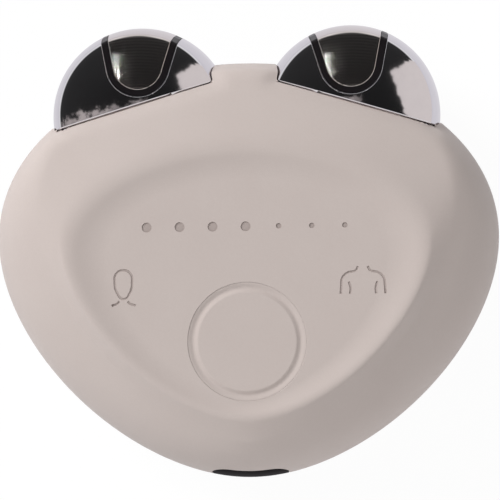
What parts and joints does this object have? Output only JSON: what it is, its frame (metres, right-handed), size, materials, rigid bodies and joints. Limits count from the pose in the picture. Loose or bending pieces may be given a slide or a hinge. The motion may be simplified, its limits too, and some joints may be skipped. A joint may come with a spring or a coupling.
{
  "type": "facial toning device",
  "caption": "Heart-shaped hand-held facial toning device: a dished silicone body with two round chromed electrode ears, a push button and a black charging end with a jack.",
  "frame": {"origin": "middle of the flat back face, under the middle of the device's bounding box", "axes": "the device lies on its back: +Z out of the front face, +Y towards the two electrode ears, +X to the right as seen from the front"},
  "size_m": [0.0952, 0.0855, 0.0352],
  "materials": {
    "soft_silicone": "matte soft-touch silicone in a warm pale taupe",
    "ear_chrome": "polished chrome plating",
    "band_black": "polished black plastic",
    "plate_black": "smooth glossy black plastic",
    "seal_rubber": "matt black rubber",
    "housing_plastic": "moulded grey plastic",
    "board_laminate": "green solder mask on laminate",
    "chip_epoxy": "moulded black epoxy",
    "coil_ferrite": "dark ferrite",
    "lens_white": "milky light housing",
    "clear_plastic": "clear light guide plastic",
    "socket_nylon": "natural nylon",
    "battery_foil": "dull foil wrap",
    "steel_parts": "plain machined steel",
    "brass_parts": "turned brass",
    "copper_winding": "lacquered copper wire",
    "weight_metal": "sintered heavy metal",
    "wire_sleeve": "red insulated wire"
  },
  "bodies": {
    "root": {"front_skin": "soft_silicone", "rear_skin": "soft_silicone", "front_housing": "housing_plastic", "rear_housing": "housing_plastic", "housing_seal": "seal_rubber", "left_ear_shell": "ear_chrome", "left_ear_tongue": "ear_chrome", "left_ear_frame": "band_black", "left_ear_gasket": "seal_rubber", "left_ear_pins": "brass_parts", "right_ear_shell": "ear_chrome", "right_ear_tongue": "ear_chrome", "right_ear_frame": "band_black", "right_ear_gasket": "seal_rubber", "right_ear_pins": "brass_parts", "switch_body": "chip_epoxy", "main_board": "board_laminate", "board_screws": "steel_parts", "controller_chip": "chip_epoxy", "boost_coil": "coil_ferrite", "mode_lights": "lens_white", "light_pipes": "clear_plastic", "lead_sockets": "socket_nylon", "battery_cell": "battery_foil", "battery_tray": "chip_epoxy", "motor_can": "steel_parts", "motor_bushes": "brass_parts", "motor_boot": "seal_rubber", "charge_plate": "plate_black", "jack_sleeve": "steel_parts", "jack_seal_ring": "seal_rubber", "jack_body": "chip_epoxy", "jack_contact": "brass_parts", "housing_screws": "steel_parts", "ear_leads": "wire_sleeve", "battery_leads": "wire_sleeve", "motor_leads": "wire_sleeve", "jack_leads": "wire_sleeve"},
    "button": {"button_pad": "soft_silicone", "button_plunger": "housing_plastic", "switch_stem": "steel_parts"},
    "rotor": {"motor_shaft": "steel_parts", "motor_armature": "copper_winding", "motor_weight": "weight_metal"}
  },
  "joints": [
    {"name": "button_press", "type": "slide", "parent": "root", "child": "button", "axis": [0, 0, -1], "range_m": [0, 0.0004], "stiffness_N_per_m": 4000},
    {"name": "motor_spin", "type": "hinge", "parent": "root", "child": "rotor", "pos_m": [0, 0.01453, 0.008], "axis": [1, 0, 0], "continuous": true}
  ]
}
